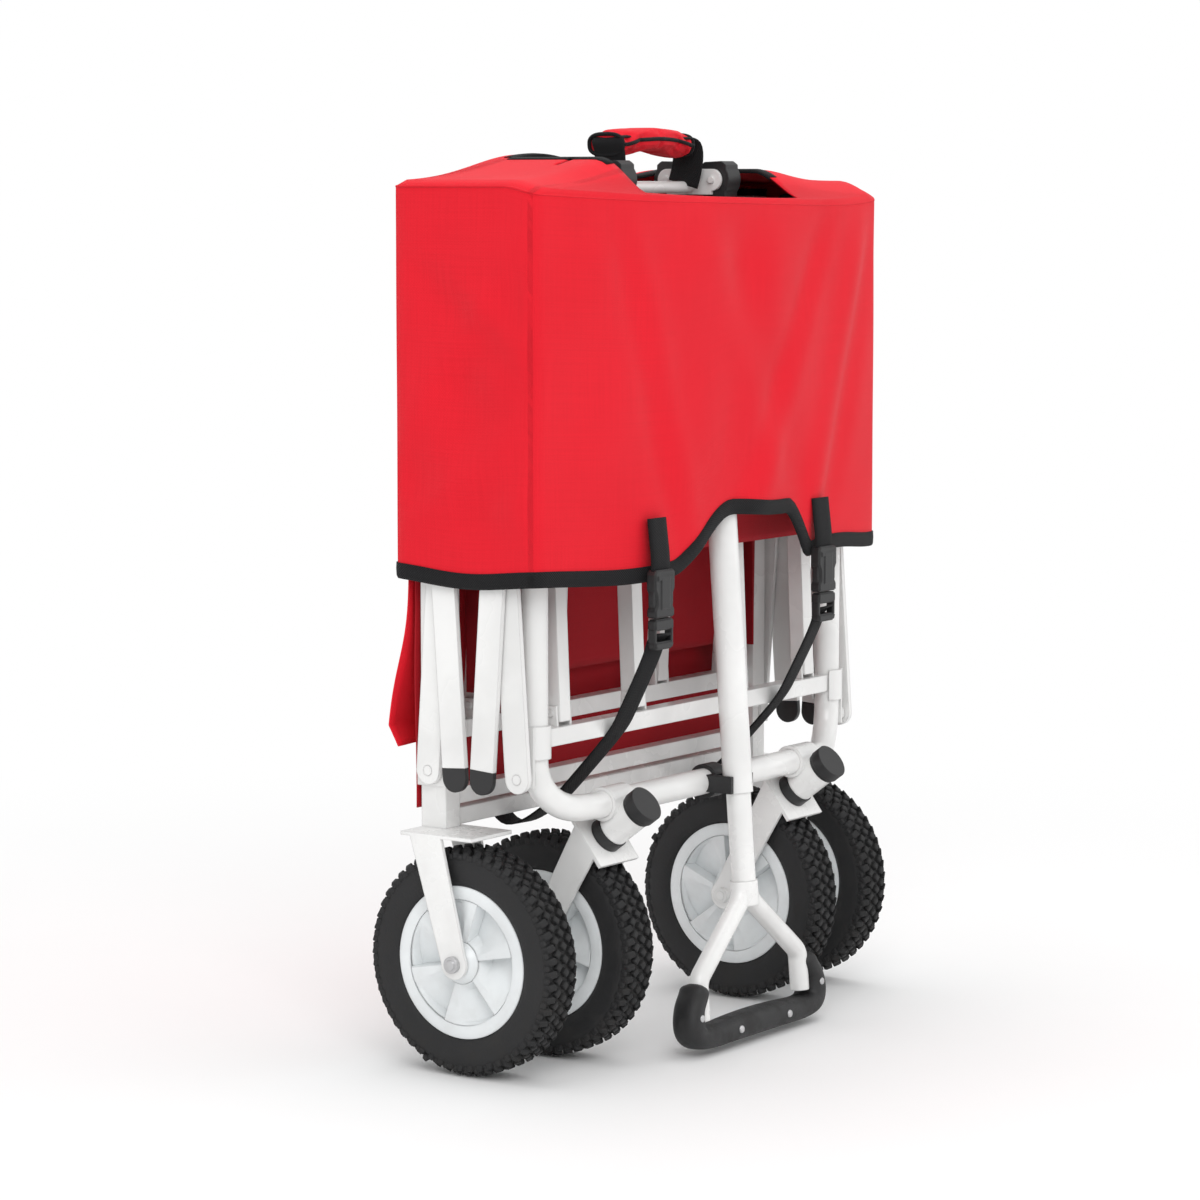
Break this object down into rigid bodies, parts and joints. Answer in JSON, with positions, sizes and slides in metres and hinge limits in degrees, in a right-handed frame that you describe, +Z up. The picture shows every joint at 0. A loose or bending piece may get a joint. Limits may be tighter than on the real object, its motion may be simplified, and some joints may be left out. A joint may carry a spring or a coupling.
{
  "type": "folding wagon",
  "caption": "Folding four-wheel utility wagon, stored upright under a cloth cover, with a telescopic pull handle.",
  "frame": {"origin": "on the floor under the middle of the folded wagon, midway between its rear legs and its front legs", "axes": "+X to the right seen from the handle side, +Y towards the rear frame, +Z up; the handle is on the -Y side"},
  "size_m": [0.522, 0.2149, 0.736],
  "materials": {
    "white_steel": "gloss white powder coat",
    "zinc": "zinc plate",
    "black_plastic": "moulded, fine grain",
    "grip_black": "soft-touch black",
    "red_cloth": "woven polyester",
    "tub_cloth": "woven polyester, dark red",
    "black_webbing": "woven polypropylene webbing",
    "tyre_rubber": "knobbly black rubber",
    "hub_plastic": "cool white moulding"
  },
  "bodies": {
    "rear_frame": {"rear_forks": "white_steel", "rear_legs": "white_steel", "rear_cross_rails": "white_steel", "rear_leg_caps": "black_plastic", "rear_panel_hinges": "white_steel", "rear_frame_bolts": "zinc", "rear_wall_cloth": "tub_cloth", "rear_pocket": "red_cloth"},
    "rear_panel": {"rear_base_bars": "white_steel", "rear_hinge_blocks": "black_plastic", "rear_floor_mat": "tub_cloth"},
    "hinge_links": {"centre_hinges": "white_steel", "carry_strap": "black_webbing", "carry_pad": "red_cloth"},
    "front_panel": {"front_base_bars": "white_steel", "front_hinge_blocks": "black_plastic", "front_floor_mat": "tub_cloth"},
    "front_frame": {"front_leg_tube": "white_steel", "front_cross_rails": "white_steel", "front_leg_caps": "black_plastic", "front_panel_hinges": "white_steel", "front_top_pins": "zinc", "front_wall_cloth": "tub_cloth", "handle_bracket": "white_steel", "handle_clip": "black_plastic"},
    "rear_upper_links": {"rear_upper_links": "white_steel", "rear_upper_link_caps": "black_plastic"},
    "rear_lower_links": {"rear_lower_links": "white_steel", "rear_lower_link_caps": "black_plastic"},
    "rear_collars": {"rear_collars": "white_steel"},
    "front_upper_links": {"front_upper_links": "white_steel", "front_upper_link_caps": "black_plastic"},
    "front_lower_links": {"front_lower_links": "white_steel", "front_lower_link_caps": "black_plastic"},
    "front_collars": {"front_collars": "white_steel"},
    "front_axle": {"caster_heads": "white_steel", "caster_head_caps": "black_plastic"},
    "cover": {"cover": "red_cloth", "cover_webbing": "black_webbing", "buckle_sockets": "black_plastic"},
    "plug_left": {"buckle_plug_left": "black_plastic"},
    "plug_right": {"buckle_plug_right": "black_plastic"},
    "caster_left": {"caster_fork_left": "white_steel", "caster_bush_left": "black_plastic"},
    "caster_right": {"caster_fork_right": "white_steel", "caster_bush_right": "black_plastic"},
    "handle_outer": {"handle_outer_tube": "white_steel"},
    "handle_inner": {"handle_inner_tube": "white_steel", "handle_fork": "white_steel", "grip_front_half": "grip_black", "grip_rear_half": "grip_black", "grip_screws": "zinc"},
    "wheel_rear_left": {"tyre_rear_left": "tyre_rubber", "hub_rear_left": "hub_plastic"},
    "wheel_rear_right": {"tyre_rear_right": "tyre_rubber", "hub_rear_right": "hub_plastic"},
    "wheel_front_left": {"tyre_front_left": "tyre_rubber", "hub_front_left": "hub_plastic"},
    "wheel_front_right": {"tyre_front_right": "tyre_rubber", "hub_front_right": "hub_plastic"}
  },
  "joints": [
    {"name": "unfold", "type": "hinge", "parent": "rear_frame", "child": "rear_panel", "pos_m": [0, 0.04, 0.282], "axis": [1, 0, 0], "range_deg": [0, 87.5]},
    {"name": "rear_centre_fold", "type": "hinge", "parent": "rear_panel", "child": "hinge_links", "pos_m": [0, 0.022, 0.69361], "axis": [1, 0, 0], "range_deg": [-87.5, 0]},
    {"name": "front_centre_fold", "type": "hinge", "parent": "hinge_links", "child": "front_panel", "pos_m": [0, -0.022, 0.69361], "axis": [1, 0, 0], "range_deg": [-87.5, 0]},
    {"name": "front_base_fold", "type": "hinge", "parent": "front_panel", "child": "front_frame", "pos_m": [0, -0.04, 0.282], "axis": [1, 0, 0], "range_deg": [0, 87.5]},
    {"name": "rear_upper_link_pivot", "type": "hinge", "parent": "rear_frame", "child": "rear_upper_links", "pos_m": [0, 0.043, 0.668], "axis": [1, 0, 0], "range_deg": [-72.58, 0]},
    {"name": "rear_link_crossing", "type": "hinge", "parent": "rear_upper_links", "child": "rear_lower_links", "pos_m": [0, 0.0281, 0.452], "axis": [1, 0, 0], "range_deg": [0, 145.16]},
    {"name": "rear_collar_pivot", "type": "hinge", "parent": "rear_lower_links", "child": "rear_collars", "pos_m": [0, 0.043, 0.236], "axis": [1, 0, 0], "range_deg": [-72.58, 0]},
    {"name": "front_upper_link_pivot", "type": "hinge", "parent": "front_frame", "child": "front_upper_links", "pos_m": [0, -0.043, 0.668], "axis": [1, 0, 0], "range_deg": [0, 72.58]},
    {"name": "front_link_crossing", "type": "hinge", "parent": "front_upper_links", "child": "front_lower_links", "pos_m": [0, -0.0281, 0.452], "axis": [1, 0, 0], "range_deg": [-145.16, 0]},
    {"name": "front_collar_pivot", "type": "hinge", "parent": "front_lower_links", "child": "front_collars", "pos_m": [0, -0.043, 0.236], "axis": [1, 0, 0], "range_deg": [0, 72.58]},
    {"name": "front_axle_fold", "type": "hinge", "parent": "front_frame", "child": "front_axle", "pos_m": [0, -0.063, 0.208], "axis": [1, 0, 0], "range_deg": [-53.13, 0]},
    {"name": "cover_lift", "type": "slide", "parent": "rear_frame", "child": "cover", "axis": [0, 0, 1], "range_m": [0, 0.561], "deforming": ["cover", "cover_webbing", "buckle_sockets"]},
    {"name": "buckle_left_release", "type": "slide", "parent": "cover", "child": "plug_left", "axis": [0, 0, -1], "range_m": [0, 0.028], "deforming": ["buckle_plug_left"]},
    {"name": "buckle_right_release", "type": "slide", "parent": "cover", "child": "plug_right", "axis": [0, 0, -1], "range_m": [0, 0.028], "deforming": ["buckle_plug_right"]},
    {"name": "rear_wheel_left_spin", "type": "hinge", "parent": "rear_frame", "child": "wheel_rear_left", "pos_m": [-0.23, 0.004, 0.09], "axis": [1, 0, 0], "continuous": true},
    {"name": "rear_wheel_right_spin", "type": "hinge", "parent": "rear_frame", "child": "wheel_rear_right", "pos_m": [0.23, 0.004, 0.09], "axis": [1, 0, 0], "continuous": true},
    {"name": "caster_left_swivel", "type": "hinge", "parent": "front_axle", "child": "caster_left", "pos_m": [-0.137, -0.05952, 0.18264], "axis": [0, -0.8, 0.6], "range_deg": [-12, 12]},
    {"name": "front_wheel_left_spin", "type": "hinge", "parent": "caster_left", "child": "wheel_front_left", "pos_m": [-0.137, -0.004, 0.09], "axis": [1, 0, 0], "continuous": true},
    {"name": "caster_right_swivel", "type": "hinge", "parent": "front_axle", "child": "caster_right", "pos_m": [0.137, -0.05952, 0.18264], "axis": [0, -0.8, 0.6], "range_deg": [-12, 12]},
    {"name": "front_wheel_right_spin", "type": "hinge", "parent": "caster_right", "child": "wheel_front_right", "pos_m": [0.137, -0.004, 0.09], "axis": [1, 0, 0], "continuous": true},
    {"name": "handle_swing", "type": "hinge", "parent": "front_frame", "child": "handle_outer", "pos_m": [0, -0.074, 0.436], "axis": [-1, 0, 0], "range_deg": [0, 110]},
    {"name": "handle_extend", "type": "slide", "parent": "handle_outer", "child": "handle_inner", "axis": [0, -0.075, -0.9972], "range_m": [0, 0.18]}
  ],
  "couplings": [
    {"joint": "rear_centre_fold", "follows": "unfold", "ratio": -1},
    {"joint": "front_centre_fold", "follows": "unfold", "ratio": -1},
    {"joint": "front_base_fold", "follows": "unfold", "ratio": 1},
    {"joint": "rear_upper_link_pivot", "follows": "unfold", "ratio": -0.82953},
    {"joint": "rear_link_crossing", "follows": "unfold", "ratio": 1.6591},
    {"joint": "rear_collar_pivot", "follows": "unfold", "ratio": -0.82953},
    {"joint": "front_upper_link_pivot", "follows": "unfold", "ratio": 0.82953},
    {"joint": "front_link_crossing", "follows": "unfold", "ratio": -1.6591},
    {"joint": "front_collar_pivot", "follows": "unfold", "ratio": 0.82953},
    {"joint": "front_axle_fold", "follows": "unfold", "ratio": -0.60723},
    {"joint": "cover_lift", "follows": "unfold", "m_per_rad": 0.36671}
  ]
}
